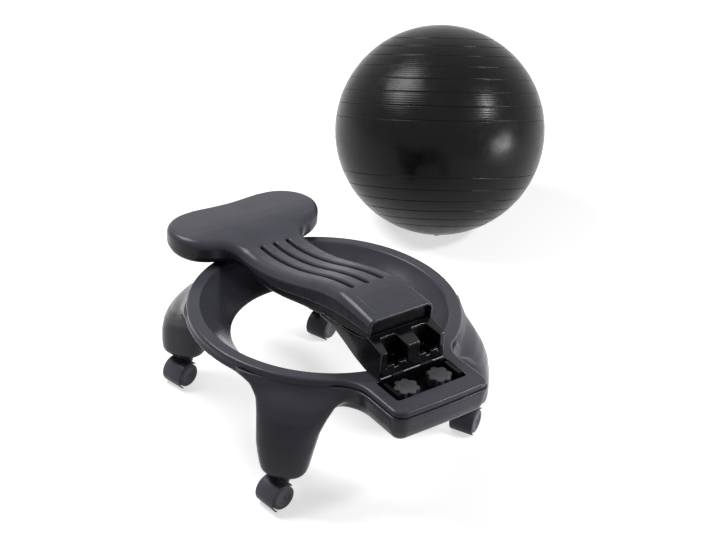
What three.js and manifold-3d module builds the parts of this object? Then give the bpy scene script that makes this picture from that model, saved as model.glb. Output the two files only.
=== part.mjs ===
// Balance ball chair: a moulded ring base on four casters, a folding lumbar backrest and the seat ball.
// Millimetres, +Z up. The sitter faces -Y, and the deck with the backrest hinge lies at +Y.

import * as THREE from 'three';
import { mergeVertices } from 'three/addons/utils/BufferGeometryUtils.js';
import Module from 'manifold-3d';

const wasm = await Module();
wasm.setup();

// Driving dimensions
const clearance = 0.3;
const overrun = 12;
const leastEdge = 0.02;
const rimHeight = 254;
const ringMouthRadius = 185;
const ballRadius = 260;
const wheelDiameter = 50;
const backrestWidth = 346;

// Heights in ring, deck and foot are measured from the rim.
const ring = {
  mouthHeight: -70, lipRadius: 4, rimInnerRadius: 245, rimEdge: 4, bandOuterRadius: 273, skirtFlare: 3,
  skirtDepth: 22, grooveBelowTop: 10, grooveWidth: 3, grooveDepth: 2, wallDepth: 18, shell: 3.5,
};
const deck = {
  halfWidth: 107, rearY: 383, frontY: 195, cornerRadius: 24, sideFilletRadius: 70, underside: -68,
  tuckUnder: 14, edgeRound: 4,
};
const recess = { halfWidth: 80, frontY: 277, rearY: 344, depth: 26, cornerRadius: 6, wall: 4 };
const rearLeg = { x: 228, y: 208 };
const frontLeg = { x: 180, y: -232 };
const leg = { soleHeight: 64, soleRadius: 36, radius: 51, shoulderReach: 4, soleWall: 8 };
const socket = { radius: 7.7, length: 38, flangeRadius: 13, flangeThickness: 2.4, bore: 5.5 };
const stem = { radius: 5.2, engagement: 30, collarRadius: 8, collarHeight: 3 };
const caster = {
  trail: 17, width: 50, webWidth: 9, hoodGap: 2.2, hoodThickness: 2.6, wheelGap: 0.5, axleRadius: 3,
  bossRadius: 11, treadRound: 2.5, hubDish: 1.2, hubRadius: 15, faceGap: 0.8, hoodFrontDeg: -52, hoodRearDeg: 128,
};
const bolt = { radius: 4, spacing: 76, y: 314, headThickness: 5, headRadius: 6.5, belowFloor: 16 };
const washer = { radius: 12, thickness: 1.6 };
const knob = { radius: 25, lobes: 7, lobeDepth: 2.2, height: 20, topRound: 2.4, skirt: 1.2 };
const bracket = {
  plateThickness: 3.2, halfWidth: 74, slideTravel: 8, lugWidth: 26, lugCentreX: 34, upstand: 3.2,
  railWidth: 7, railFrontY: 292,
};
const hinge = { radius: 3, y: 279, height: 5.8, knuckleRadius: 5.2 };
const foot = {
  halfWidth: 73, heelY: 281.2, ribEndHeight: 60, ledgeHeight: 72, ledgeY: 235, pocketWidth: 32,
  pocketCentreX: 34, pocketFloor: 22, pocketFrontY: 246, tongueFrontY: 156, tongueWall: 8, flankFrontY: 100,
  sillHeight: 30, sillLength: 9, slotWidth: 9,
};
const backrest = {
  columnHalfWidth: 70, neckHalfWidth: 76, filletRadius: 50, padCentreY: -300, padDepth: 150, padRest: 0.3,
  shell: 3, edgeRound: 15, domeLength: 26, partingGap: 0.4,
};
const slot = { width: 5, frontY: -188, rearY: 132, frontPitch: 31, rearPitch: 34 };
const ball = { wall: 2.4, x: -707, y: -519, leanDeg: 22, leanTowardDeg: 239 };
const valve = { bore: 5, flangeRadius: 9, flangeThickness: 1.6, stemLength: 12, gripRadius: 3, gripHeight: 2 };

// Side line of the backrest, from the foot to the pad: the place along the column as a share of the reach
// from the hinge to the pad's front edge, then the top and the bottom as shares of the ledge's height.
const backrestSideShares = [
  [0.061, 1.47, 0.92], [0.12, 1.55, 0.84], [0.18, 1.60, 0.74], [0.242, 1.58, 0.62],
  [0.3, 1.46, 0.50], [0.365, 1.28, 0.37], [0.426, 1.08, 0.25], [0.487, 0.91, 0.11],
  [0.548, 0.76, 0.01], [0.61, 0.65, -0.04], [0.66, 0.61, 0.02], [0.695, 0.61, 0.06],
  [0.716, 0.61, 0.07], [0.734, 0.62, 0.07], [0.752, 0.64, 0.05], [0.77, 0.65, 0.03],
];
const padTopShare = 0.80;
const padFrontTopShare = 0.73;
const partingShare = 0.34;
const padStationShares = [0.02, 0.08, 0.25, 0.5, 0.75];
const domeTurnShares = [0, 0.3, 0.55, 0.75, 0.9, 0.985];
const edgeRoundShare = 0.98;
const flankShares = [[0, 1], [0.22, 0.86], [0.45, 0.58], [0.75, 0.2], [1, 0]];
const legHeightShares = [0.02, 0.06, 0.36, 0.54, 0.68, 0.8, 0.9, 0.97];
const legReachShares = [0.86, 1, 1, 1, 1, 0.97, 0.93, 0.82];
const legSpreadShares = [0.86, 1, 1.03, 1.13, 1.28, 1.52, 1.95, 2.5];
const legDrawShares = [0, 0, 0.03, 0.12, 0.26, 0.48, 0.76, 0.97];
const legRoundShares = [0.74, 0.74, 0.74, 0.76, 0.82, 0.9, 1, 1];

const charcoal = new THREE.MeshStandardMaterial({ color: 0x46474d, roughness: 0.42, metalness: 0 });
const blackMoulding = new THREE.MeshStandardMaterial({ color: 0x141417, roughness: 0.22, metalness: 0 });
const knobPlastic = new THREE.MeshStandardMaterial({ color: 0x3c3e40, roughness: 0.6, metalness: 0 });
const casterPlastic = new THREE.MeshStandardMaterial({ color: 0x3e3f45, roughness: 0.45, metalness: 0 });
const ballRubber = new THREE.MeshStandardMaterial({ color: 0x1b1b1c, roughness: 0.5, metalness: 0 });
const steel = new THREE.MeshStandardMaterial({ color: 0x8d9094, roughness: 0.35, metalness: 0.9 });
const valvePlastic = new THREE.MeshStandardMaterial({ color: 0x232324, roughness: 0.5, metalness: 0 });

const ringSteps = 48;
const hollowSteps = 24;
const roundSteps = 16;
const smallSteps = 10;
const ballSteps = 32;
const group = new THREE.Group();

// Turns a three.js geometry into a closed solid whose faces point outwards.
function solid(geometry) {
  const bare = geometry.clone();
  bare.deleteAttribute('normal');
  bare.deleteAttribute('uv');
  const merged = mergeVertices(bare);
  const places = merged.attributes.position.array;
  const corners = merged.index.array;
  const kept = [];
  let volume = 0;
  const [a, b, c] = [new THREE.Vector3(), new THREE.Vector3(), new THREE.Vector3()];
  for (let i = 0; i < corners.length; i += 3) {
    const [p, q, r] = [corners[i], corners[i + 1], corners[i + 2]];
    if (p === q || q === r || r === p) continue;
    kept.push(p, q, r);
    a.fromArray(places, p * 3);
    b.fromArray(places, q * 3);
    c.fromArray(places, r * 3);
    volume += a.dot(b.cross(c));
  }
  if (volume < 0) kept.reverse();
  const mesh = new wasm.Mesh({
    numProp: 3, vertProperties: new Float32Array(places), triVerts: new Uint32Array(kept),
  });
  return new wasm.Manifold(mesh);
}

function geometryOf(shape) {
  const mesh = shape.asOriginal().simplify(leastEdge).getMesh();
  const geometry = new THREE.BufferGeometry();
  geometry.setAttribute('position', new THREE.BufferAttribute(mesh.vertProperties, 3));
  geometry.setIndex(new THREE.BufferAttribute(mesh.triVerts, 1));
  geometry.computeVertexNormals();
  return geometry;
}

function union(shapes) {
  return shapes.reduce((whole, shape) => whole.add(shape));
}

function piece(name, shape, material, parent = group) {
  const mesh = new THREE.Mesh(geometryOf(shape), material);
  mesh.name = name;
  parent.add(mesh);
  return mesh;
}

// A block between two corners
function block([x0, y0, z0], [x1, y1, z1]) {
  const geometry = new THREE.BoxGeometry(x1 - x0, y1 - y0, z1 - z0);
  return solid(geometry.translate((x0 + x1) / 2, (y0 + y1) / 2, (z0 + z1) / 2));
}

// A round bar along Z from one height to another
function rod(radius, z0, z1, x = 0, y = 0, steps = smallSteps) {
  const geometry = new THREE.CylinderGeometry(radius, radius, z1 - z0, steps);
  return solid(geometry.rotateX(Math.PI / 2).translate(x, y, (z0 + z1) / 2));
}

// A round bar along X
function crossRod(radius, x0, x1, y, z, steps = smallSteps) {
  const geometry = new THREE.CylinderGeometry(radius, radius, x1 - x0, steps);
  return solid(geometry.rotateZ(Math.PI / 2).translate((x0 + x1) / 2, y, z));
}

// A body of revolution about Z from [radius, height] points
function revolve(points, steps) {
  const geometry = new THREE.LatheGeometry(points.map(([r, z]) => new THREE.Vector2(r, z)), steps);
  return solid(geometry.rotateX(Math.PI / 2));
}

function closedRevolve(points, steps) {
  return revolve([...points, points[0]], steps);
}

// A flat outline of [x, y] points drawn up from one height to another
function prism(points, z0, z1) {
  const outline = new THREE.Shape(points.map(([x, y]) => new THREE.Vector2(x, y)));
  const geometry = new THREE.ExtrudeGeometry(outline, { depth: z1 - z0, bevelEnabled: false });
  return solid(geometry.translate(0, 0, z0));
}

// A side outline of [y, z] points drawn across from one x to another
function crossPrism(points, x0, x1) {
  const outline = new THREE.Shape(points.map(([y, z]) => new THREE.Vector2(y, z)));
  const geometry = new THREE.ExtrudeGeometry(outline, { depth: x1 - x0, bevelEnabled: false });
  const axes = new THREE.Matrix4().makeBasis(
    new THREE.Vector3(0, 1, 0), new THREE.Vector3(0, 0, 1), new THREE.Vector3(1, 0, 0));
  return solid(geometry.applyMatrix4(axes).translate(x0, 0, 0));
}

// Triangles that close a flat section, with the same turn as its points
function capOf(section) {
  const spans = [0, 1, 2].map((axis) => {
    const values = section.map((point) => point[axis]);
    return Math.max(...values) - Math.min(...values);
  });
  const [u, v] = [0, 1, 2].filter((axis) => axis !== spans.indexOf(Math.min(...spans)));
  const outline = section.map((point) => new THREE.Vector2(point[u], point[v]));
  const faces = THREE.ShapeUtils.triangulateShape(outline, []);
  const faceArea = THREE.ShapeUtils.area(faces[0].map((i) => outline[i]));
  const sameTurn = THREE.ShapeUtils.area(outline) * faceArea > 0;
  return sameTurn ? faces : faces.map(([a, b, c]) => [a, c, b]);
}

// A skin over a row of sections that all have as many points, closed flat at both ends
function loft(sections) {
  const count = sections[0].length;
  const places = sections.flat(2);
  const corners = [];
  for (let row = 0; row + 1 < sections.length; row += 1) {
    for (let i = 0; i < count; i += 1) {
      const next = (i + 1) % count;
      const [a, b] = [row * count + i, row * count + next];
      corners.push(a, b, b + count, a, b + count, a + count);
    }
  }
  const last = (sections.length - 1) * count;
  for (const [a, b, c] of capOf(sections[0])) corners.push(a, c, b);
  for (const [a, b, c] of capOf(sections.at(-1))) corners.push(last + a, last + b, last + c);
  const geometry = new THREE.BufferGeometry();
  geometry.setAttribute('position', new THREE.Float32BufferAttribute(places, 3));
  geometry.setIndex(corners);
  return solid(geometry);
}

// Points of a rounded rectangle, counter-clockwise, with arcs of the given number of steps
function roundedRectangle([x0, y0], [x1, y1], radius, arcSteps) {
  const centres = [[x1 - radius, y1 - radius], [x0 + radius, y1 - radius],
    [x0 + radius, y0 + radius], [x1 - radius, y0 + radius]];
  return centres.flatMap(([x, y], corner) => Array.from({ length: arcSteps + 1 }, (_, step) => {
    const angle = (corner + step / arcSteps) * Math.PI / 2;
    return [x + radius * Math.cos(angle), y + radius * Math.sin(angle)];
  }));
}

// Ring: a bowl that the ball sits in, with a rim band, a parting groove and a short skirt.
// An inset draws the same outline inside the wall.
function ringOutline(inset) {
  const top = rimHeight - inset;
  const mouth = rimHeight + ring.mouthHeight;
  const inner = ringMouthRadius + inset;
  const rimInner = ring.rimInnerRadius + inset;
  const outer = ring.bandOuterRadius - inset;
  const groove = rimHeight - ring.grooveBelowTop;
  const skirt = outer + ring.skirtFlare;
  const foldIn = skirt - ring.wallDepth / 2;
  const below = rimHeight - ring.skirtDepth + inset;
  const [underGroove, grooveFloor] = inset > 0 ? [outer, outer] : [skirt, outer - ring.grooveDepth];
  return [
    [inner, mouth + ring.lipRadius / 2 + inset / 2],
    [inner + ring.lipRadius, mouth - ring.lipRadius + inset],
    [foldIn - ring.wallDepth, below - ring.wallDepth / 2],
    [foldIn, below],
    [skirt, below + ring.wallDepth / 4],
    [underGroove, groove - ring.grooveWidth],
    [grooveFloor, groove - ring.grooveWidth / 2],
    [outer, groove],
    [outer, top - ring.rimEdge],
    [outer - ring.rimEdge, top],
    [rimInner + ring.rimEdge, top],
    [rimInner, top - ring.rimEdge / 2],
    [rimInner - ring.rimEdge, top - ring.rimEdge - ring.rimEdge / 2],
    [(rimInner + inner) / 2, (rimHeight + mouth) / 2 - inset - ring.rimEdge / 2],
  ];
}

// Deck outline in plan: side fillets out of the ring, straight flanks and round rear corners
function deckOutline(inset) {
  const half = deck.halfWidth - inset;
  const rear = deck.rearY - inset;
  const fillet = deck.sideFilletRadius + inset;
  const round = deck.cornerRadius - inset / 2;
  const centreX = half + fillet;
  const reach = ring.bandOuterRadius - inset + fillet;
  const centreY = Math.sqrt(reach * reach - centreX * centreX);
  const start = Math.atan2(-centreY, -centreX) + 2 * Math.PI;
  const side = [];
  for (let step = 0; step <= 4; step += 1) {
    const angle = start + (Math.PI - start) * step / 4;
    side.push([centreX + fillet * Math.cos(angle), centreY + fillet * Math.sin(angle)]);
  }
  for (let step = 0; step <= 4; step += 1) {
    const angle = Math.PI / 2 * step / 4;
    side.push([half - round + round * Math.cos(angle), rear - round + round * Math.sin(angle)]);
  }
  const mirrored = side.map(([x, y]) => [-x, y]).reverse();
  return [...side, ...mirrored, [-centreX / 2, deck.frontY], [centreX / 2, deck.frontY]];
}

function deckSection(inset, tuck, z) {
  return deckOutline(inset + tuck).map(([x, y]) => [x, y, z]);
}

function deckBody(inset) {
  const top = rimHeight - inset;
  const groove = rimHeight - ring.grooveBelowTop;
  const low = rimHeight + deck.underside + inset;
  const flare = -ring.skirtFlare;
  const sections = [
    deckSection(inset, deck.tuckUnder, low),
    deckSection(inset, deck.tuckUnder / 2, low + deck.edgeRound),
    deckSection(inset, 0, low + deck.cornerRadius),
    deckSection(inset, flare, groove - deck.edgeRound - ring.grooveWidth),
    deckSection(inset, inset > 0 ? 0 : flare, groove - ring.grooveWidth),
  ];
  if (inset === 0) sections.push(deckSection(inset, ring.grooveDepth, groove - ring.grooveWidth / 2));
  sections.push(
    deckSection(inset, 0, groove),
    deckSection(inset, 0, top - deck.edgeRound),
    deckSection(inset, deck.edgeRound / 3, top - deck.edgeRound / 3),
    deckSection(inset, deck.edgeRound, top),
  );
  return loft(sections);
}

// A sine or cosine drawn outwards, so that a round section turns squarer as the share falls below one
function squared(value, share) {
  return Math.sign(value) * Math.abs(value) ** share;
}

// Leg: an upright shape under the ring that stands on a rounded sole and spreads into the skirt
function legBody(place, inset) {
  const distance = Math.hypot(place.x, place.y);
  const bearing = Math.atan2(place.y, place.x);
  const top = rimHeight - ring.grooveBelowTop - ring.grooveWidth - inset;
  const height = top - leg.soleHeight;
  const rimReach = ring.bandOuterRadius + ring.skirtFlare;
  const outerReach = distance + leg.radius + leg.shoulderReach;
  const innerMost = ring.rimInnerRadius - ring.wallDepth;
  const soleShare = leg.soleRadius / leg.radius;
  const rows = [[0, soleShare, soleShare, 0, legRoundShares[0]],
    ...legHeightShares.map((share, i) => [share, Math.max(legReachShares[i], soleShare),
      Math.max(legSpreadShares[i], soleShare), legDrawShares[i], legRoundShares[i]])];
  return loft(rows.map(([heightShare, reachShare, spreadShare, drawShare, roundShare], row) => {
    const outer = distance + leg.radius * reachShare
      + (rimReach - outerReach) * drawShare - inset;
    const inner = Math.max(distance - leg.radius * reachShare - (distance - innerMost) * drawShare / 2,
      innerMost - leg.radius * (1 - drawShare)) + inset;
    const [centre, depth] = [(outer + inner) / 2, (outer - inner) / 2];
    const spread = leg.radius * spreadShare - inset;
    const z = leg.soleHeight + (row === 0 && inset > 0 ? leg.soleWall : 0) + height * heightShare;
    const steps = inset > 0 ? roundSteps / 2 : roundSteps;
    return Array.from({ length: steps }, (_, i) => {
      const angle = 2 * Math.PI * i / steps;
      const [r, t] = [centre + depth * squared(Math.cos(angle), roundShare),
        spread * squared(Math.sin(angle), roundShare)];
      return [r * Math.cos(bearing) - t * Math.sin(bearing), r * Math.sin(bearing) + t * Math.cos(bearing), z];
    });
  }));
}

const mirror = ({ x, y }) => ({ x: -x, y });
const legPlaces = {
  rear_left: rearLeg, rear_right: mirror(rearLeg), front_left: frontLeg, front_right: mirror(frontLeg),
};
const recessFloor = rimHeight - recess.depth;

function recessBox(grow) {
  const outline = roundedRectangle([-recess.halfWidth - grow, recess.frontY - grow],
    [recess.halfWidth + grow, recess.rearY + grow], recess.cornerRadius + grow, 2);
  return prism(outline, recessFloor - grow, rimHeight + overrun);
}

function baseBody(inset) {
  const legs = Object.values(legPlaces).map((place) => legBody(place, inset));
  return union([closedRevolve(ringOutline(inset), inset > 0 ? hollowSteps : ringSteps), deckBody(inset), ...legs]);
}

// The space over the bowl wall, which the ball fills
function bowlSpace(grow) {
  const outline = ringOutline(0);
  const wall = [outline[0], ...outline.slice(-4).reverse()].map(([r, z]) => [r - grow, z + grow]);
  const mouth = wall[0][0];
  const rimTop = rimHeight + overrun;
  return revolve([[0, 0], [mouth, 0], ...wall, [ring.rimInnerRadius + ring.rimEdge - grow, rimTop], [0, rimTop]],
    ringSteps);
}

function makeBase() {
  const bores = Object.values(legPlaces).map(({ x, y }) =>
    rod(socket.radius + clearance, 0, leg.soleHeight + leg.soleWall * 2, x, y));
  const boltHoles = [-1, 1].map((side) =>
    rod(bolt.radius + clearance, recessFloor - overrun, rimHeight, side * bolt.spacing / 2, bolt.y));
  const hollow = baseBody(ring.shell).subtract(recessBox(recess.wall));
  const outside = baseBody(0).subtract(bowlSpace(0));
  const cuts = union([recessBox(0), ...bores, ...boltHoles]);
  return outside.subtract(hollow.subtract(bowlGuard())).subtract(cuts);
}

// Keeps the bowl wall whole where the legs' hollows come near it
function bowlGuard() {
  return bowlSpace(-ring.shell);
}

piece('base_shell', makeBase(), charcoal);

// Casters: a socket in each leg, and a swivelling twin-wheel caster under it
const wheelRadius = wheelDiameter / 2;
const hoodInner = wheelRadius + caster.hoodGap;
const hoodOuter = hoodInner + caster.hoodThickness;
const wheelWidth = (caster.width - caster.webWidth) / 2 - caster.wheelGap - caster.faceGap;
const socketTop = leg.soleHeight - clearance;
const flangeBottom = socketTop - socket.flangeThickness;
const stemBottom = flangeBottom - clearance - stem.collarHeight;
const casterTurnDegrees = { rear_left: 7, rear_right: 27, front_left: 14, front_right: 20 };

function makeSocket() {
  const outline = [[socket.bore, flangeBottom], [socket.flangeRadius, flangeBottom],
    [socket.flangeRadius, socketTop], [socket.radius, socketTop],
    [socket.radius, socketTop + socket.length], [socket.bore, socketTop + socket.length]];
  return closedRevolve(outline, smallSteps);
}

function makeStem() {
  const top = flangeBottom + stem.engagement;
  return revolve([[0, stemBottom], [stem.collarRadius, stemBottom],
    [stem.collarRadius, stemBottom + stem.collarHeight], [stem.radius, stemBottom + stem.collarHeight],
    [stem.radius, top - stem.radius / 2], [stem.radius / 2, top], [0, top]], smallSteps);
}

// The hood is a curved shield over both wheels, a web between them and a boss under the stem
function hoodArc(radius, steps) {
  return Array.from({ length: steps + 1 }, (_, step) => {
    const turn = THREE.MathUtils.degToRad(
      caster.hoodFrontDeg + (caster.hoodRearDeg - caster.hoodFrontDeg) * step / steps);
    return [caster.trail + radius * Math.cos(turn), wheelRadius + radius * Math.sin(turn)];
  });
}

function makeHood() {
  const shield = crossPrism([...hoodArc(hoodOuter, 9), ...hoodArc(hoodInner, 9).reverse()],
    -caster.width / 2, caster.width / 2);
  const webCentre = [caster.trail, wheelRadius];
  const web = crossPrism([webCentre, ...hoodArc((hoodInner + hoodOuter) / 2, 9)],
    -caster.webWidth / 2, caster.webWidth / 2);
  const hub = crossRod(caster.axleRadius * 2, -caster.webWidth / 2, caster.webWidth / 2, ...webCentre);
  const bossTop = stemBottom - clearance;
  const boss = rod(caster.bossRadius, wheelRadius + caster.axleRadius * 2, bossTop, 0, 0, roundSteps);
  const wheelSpace = [-1, 1].map((side) => crossRod(hoodInner,
    side > 0 ? caster.webWidth / 2 : -caster.width / 2 - overrun,
    side > 0 ? caster.width / 2 + overrun : -caster.webWidth / 2, ...webCentre, roundSteps));
  const axleBore = crossRod(caster.axleRadius + clearance, -caster.width, caster.width, ...webCentre);
  return union([shield, web, hub, boss.subtract(union(wheelSpace))]).subtract(axleBore);
}

function makeWheel() {
  const bore = caster.axleRadius + clearance;
  const face = wheelWidth - caster.hubDish;
  const boreDepth = wheelWidth - caster.hubDish * 2 - clearance;
  return revolve([[0, boreDepth], [bore, boreDepth], [bore, 0], [wheelRadius - caster.treadRound, 0],
    [wheelRadius, caster.treadRound], [wheelRadius, wheelWidth - caster.treadRound],
    [wheelRadius - caster.treadRound, wheelWidth], [caster.hubRadius, face], [0, face]], roundSteps);
}

function makeAxle() {
  const half = caster.webWidth / 2 + caster.wheelGap + wheelWidth - caster.hubDish * 2 - clearance * 2;
  return crossRod(caster.axleRadius, -half, half, caster.trail, wheelRadius);
}

for (const [corner, place] of Object.entries(legPlaces)) {
  const seat = new THREE.Group();
  seat.position.set(place.x, place.y, 0);
  group.add(seat);
  piece(`caster_socket_${corner}`, makeSocket(), blackMoulding, seat);
  const swivel = new THREE.Group();
  swivel.rotation.z = THREE.MathUtils.degToRad(casterTurnDegrees[corner] - 90);
  seat.add(swivel);
  piece(`caster_stem_${corner}`, makeStem(), steel, swivel);
  piece(`caster_hood_${corner}`, makeHood(), casterPlastic, swivel);
  piece(`caster_axle_${corner}`, makeAxle(), steel, swivel);
  for (const [side, name] of [[-1, 'inner'], [1, 'outer']]) {
    const wheel = piece(`caster_wheel_${corner}_${name}`, makeWheel(), casterPlastic, swivel);
    wheel.rotation.y = side * Math.PI / 2;
    wheel.position.set(side * (caster.webWidth / 2 + caster.wheelGap), caster.trail, wheelRadius);
  }
}

// Hinge bracket: a wall that carries the hinge lugs, and three tongues behind it that slide fore and aft
// under two star knobs, whose bolts pass between the tongues. Two rails stop the upright backrest.
const plateBottom = recessFloor + clearance;
const plateTop = plateBottom + bracket.plateThickness;
const hingeHeight = rimHeight + hinge.height;
const upstandY = recess.frontY + clearance;
const wallTop = hingeHeight - hinge.knuckleRadius - (foot.heelY - hinge.y);
const tongueFront = upstandY + bracket.upstand + clearance;
const tongueRear = recess.rearY - bracket.slideTravel - clearance;

function makeTongue(side) {
  const boltSide = bolt.spacing / 2 - bolt.radius - clearance;
  const edges = side === 0 ? [-boltSide, boltSide] : [side * (bolt.spacing - boltSide), side * bracket.halfWidth];
  return block([Math.min(...edges), tongueFront, plateBottom], [Math.max(...edges), tongueRear, plateTop]);
}

function makeRail(side) {
  const railTop = hingeHeight - (foot.heelY - hinge.y) - clearance;
  const edges = [side * bracket.halfWidth, side * (bracket.halfWidth - bracket.railWidth)];
  return block([Math.min(...edges), bracket.railFrontY, plateTop + clearance],
    [Math.max(...edges), tongueRear, railTop]);
}

function makeLug(side) {
  const [x0, x1] = [side * bracket.lugCentreX - bracket.lugWidth / 2, side * bracket.lugCentreX + bracket.lugWidth / 2];
  const web = block([x0, upstandY, wallTop + clearance], [x1, upstandY + bracket.upstand, hingeHeight]);
  const bore = crossRod(hinge.radius + clearance, -bracket.halfWidth, bracket.halfWidth, hinge.y, hingeHeight);
  return web.add(crossRod(hinge.knuckleRadius, x0, x1, hinge.y, hingeHeight)).subtract(bore);
}

piece('slide_bracket', block([-bracket.halfWidth, upstandY, plateBottom],
  [bracket.halfWidth, upstandY + bracket.upstand, wallTop]), blackMoulding);
for (const [side, name] of [[1, 'left'], [0, 'middle'], [-1, 'right']]) {
  piece(`slide_tongue_${name}`, makeTongue(side), blackMoulding);
}
for (const [side, name] of [[1, 'left'], [-1, 'right']]) {
  piece(`stop_rail_${name}`, makeRail(side), blackMoulding);
  piece(`hinge_lug_${name}`, makeLug(side), blackMoulding);
}
piece('hinge_pin', crossRod(hinge.radius, -foot.halfWidth + clearance, foot.halfWidth - clearance,
  hinge.y, hingeHeight), steel);

// Star knobs on their clamp bolts
const washerTop = plateTop + clearance + washer.thickness;
const knobBottom = washerTop + clearance;
const knobTop = knobBottom + knob.height;

function starOutline(radius, steps) {
  return Array.from({ length: steps }, (_, i) => {
    const angle = 2 * Math.PI * i / steps;
    const reach = radius - knob.lobeDepth * (1 - Math.cos(knob.lobes * angle));
    return [reach * Math.cos(angle), reach * Math.sin(angle)];
  });
}

function makeKnob() {
  const steps = knob.lobes * 6;
  const rows = [[knob.skirt, 0], [0, knob.skirt], [0, knob.height - knob.topRound],
    [knob.topRound, knob.height]];
  const body = loft(rows.map(([draw, up]) =>
    starOutline(knob.radius - draw, steps).map(([x, y]) => [x, y, knobBottom + up])));
  const headTop = knobBottom + knob.height - knob.topRound * 2;
  return body.subtract(union([
    rod(bolt.radius + clearance, knobBottom - overrun, headTop - bolt.headThickness),
    rod(bolt.headRadius + clearance, headTop - bolt.headThickness - clearance * 2, headTop),
  ]));
}

function makeBolt() {
  const headTop = knobBottom + knob.height - knob.topRound * 2 - clearance;
  const headBottom = headTop - bolt.headThickness;
  const tip = recessFloor - bolt.belowFloor;
  return revolve([[0, tip], [bolt.radius, tip], [bolt.radius, headBottom], [bolt.headRadius, headBottom],
    [bolt.headRadius, headTop], [0, headTop]], smallSteps);
}

function makeWasher() {
  const bottom = plateTop + clearance;
  return closedRevolve([[bolt.radius + clearance, bottom], [washer.radius, bottom],
    [washer.radius, washerTop], [bolt.radius + clearance, washerTop]], roundSteps);
}

for (const [side, name] of [[1, 'left'], [-1, 'right']]) {
  const clamp = new THREE.Group();
  clamp.position.set(side * bolt.spacing / 2, bolt.y, 0);
  group.add(clamp);
  piece(`clamp_bolt_${name}`, makeBolt(), steel, clamp);
  piece(`clamp_washer_${name}`, makeWasher(), steel, clamp);
  piece(`star_knob_${name}`, makeKnob(), knobPlastic, clamp);
}

// Backrest: a lumbar pad on a curved column, moulded as a rear and a front shell over a hinged foot.
// It is drawn folded forwards, with the pad resting on the front of the rim.
const padFrontY = backrest.padCentreY - backrest.padDepth / 2;
const padRearY = backrest.padCentreY + backrest.padDepth / 2;
const reachY = hinge.y - padFrontY;
const padCapRadius = backrest.padDepth / 2;
const padCapCentre = backrestWidth / 2 - padCapRadius;

const neckCentreX = backrest.neckHalfWidth + backrest.filletRadius;
const neckRise = Math.sqrt((padCapRadius + backrest.filletRadius) ** 2 - (neckCentreX - padCapCentre) ** 2);
const neckY = backrest.padCentreY + neckRise;
const neckMeetY = backrest.padCentreY + neckRise * padCapRadius / (padCapRadius + backrest.filletRadius);

// Half the width: the pad's round end, a fillet, and a column that narrows towards the foot
function backrestHalfWidth(y) {
  if (y <= neckMeetY) {
    const off = (y - backrest.padCentreY) / padCapRadius;
    return padCapCentre + padCapRadius * Math.sqrt(Math.max(0, 1 - off * off));
  }
  if (y <= neckY) return neckCentreX - Math.sqrt(backrest.filletRadius ** 2 - (neckY - y) ** 2);
  const along = Math.min(1, (y - neckY) / (foot.flankFrontY - neckY));
  return backrest.neckHalfWidth + (backrest.columnHalfWidth - backrest.neckHalfWidth) * along;
}

// Stations from the foot to the pad's front edge, each with its place, top and bottom height
function backrestStations(inset) {
  const stations = backrestSideShares.map(([along, top, bottom]) =>
    ({
      y: hinge.y - along * reachY,
      top: rimHeight + top * foot.ledgeHeight,
      bottom: rimHeight + bottom * foot.ledgeHeight,
    }));
  const seat = rimHeight + backrest.padRest;
  const padTop = rimHeight + padTopShare * foot.ledgeHeight;
  const frontTop = rimHeight + padFrontTopShare * foot.ledgeHeight;
  for (const share of padStationShares) {
    const y = padRearY - share * backrest.padDepth;
    stations.push({ y, top: padTop - (padTop - frontTop) * share * share, bottom: seat });
  }
  for (const turn of domeTurnShares) {
    const angle = turn * Math.PI / 2;
    const [middle, half] = [(frontTop + seat) / 2, (frontTop - seat) / 2 * Math.cos(angle)];
    stations.push({
      y: padFrontY + backrest.domeLength * (1 - Math.sin(angle)), top: middle + half, bottom: middle - half,
    });
  }
  if (inset === 0) return stations;
  const inner = stations.filter(({ top, bottom }) => top - bottom > inset * 6);
  inner[0] = { ...inner[0], y: inner[0].y + overrun };
  return inner;
}

function backrestBody(inset) {
  return loft(backrestStations(inset).map(({ y, top, bottom }) => {
    const half = backrestHalfWidth(y) - inset;
    const radius = Math.min(backrest.edgeRound - inset, (top - bottom) / 2 - inset) * edgeRoundShare;
    const steps = inset > 0 ? 1 : 3;
    return roundedRectangle([-half, bottom + inset], [half, top - inset], radius, steps).map(([x, z]) => [x, y, z]);
  }));
}

// Everything above or below the parting line of the two shells
function partingSide(above) {
  const high = rimHeight + reachY;
  return loft(backrestStations(0).map(({ y, top, bottom }, i, all) => {
    const split = bottom + (top - bottom) * partingShare;
    const place = i === 0 ? y + overrun : (i === all.length - 1 ? y - overrun : y);
    const [z0, z1] = above ? [split + backrest.partingGap / 2, high] : [0, split - backrest.partingGap / 2];
    return [[-backrestWidth, z0], [backrestWidth, z0], [backrestWidth, z1], [-backrestWidth, z1]]
      .map(([x, z]) => [x, place, z]);
  }));
}

function slotCutter(side) {
  const half = slot.width / 2;
  const [front, rear] = [side * slot.frontPitch, side * slot.rearPitch];
  const outline = [[front - half, slot.frontY + half], [front, slot.frontY], [front + half, slot.frontY + half],
    [rear + half, slot.rearY - half], [rear, slot.rearY], [rear - half, slot.rearY - half]];
  return prism(outline, rimHeight - overrun, rimHeight + reachY);
}

// Foot: a tongue inside the shells, flanks that come down to the deck and two pockets between ribs
const footBottom = rimHeight + clearance;
const ledgeTop = rimHeight + foot.ledgeHeight;
const footPocketSides = [-1, 1];

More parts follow.
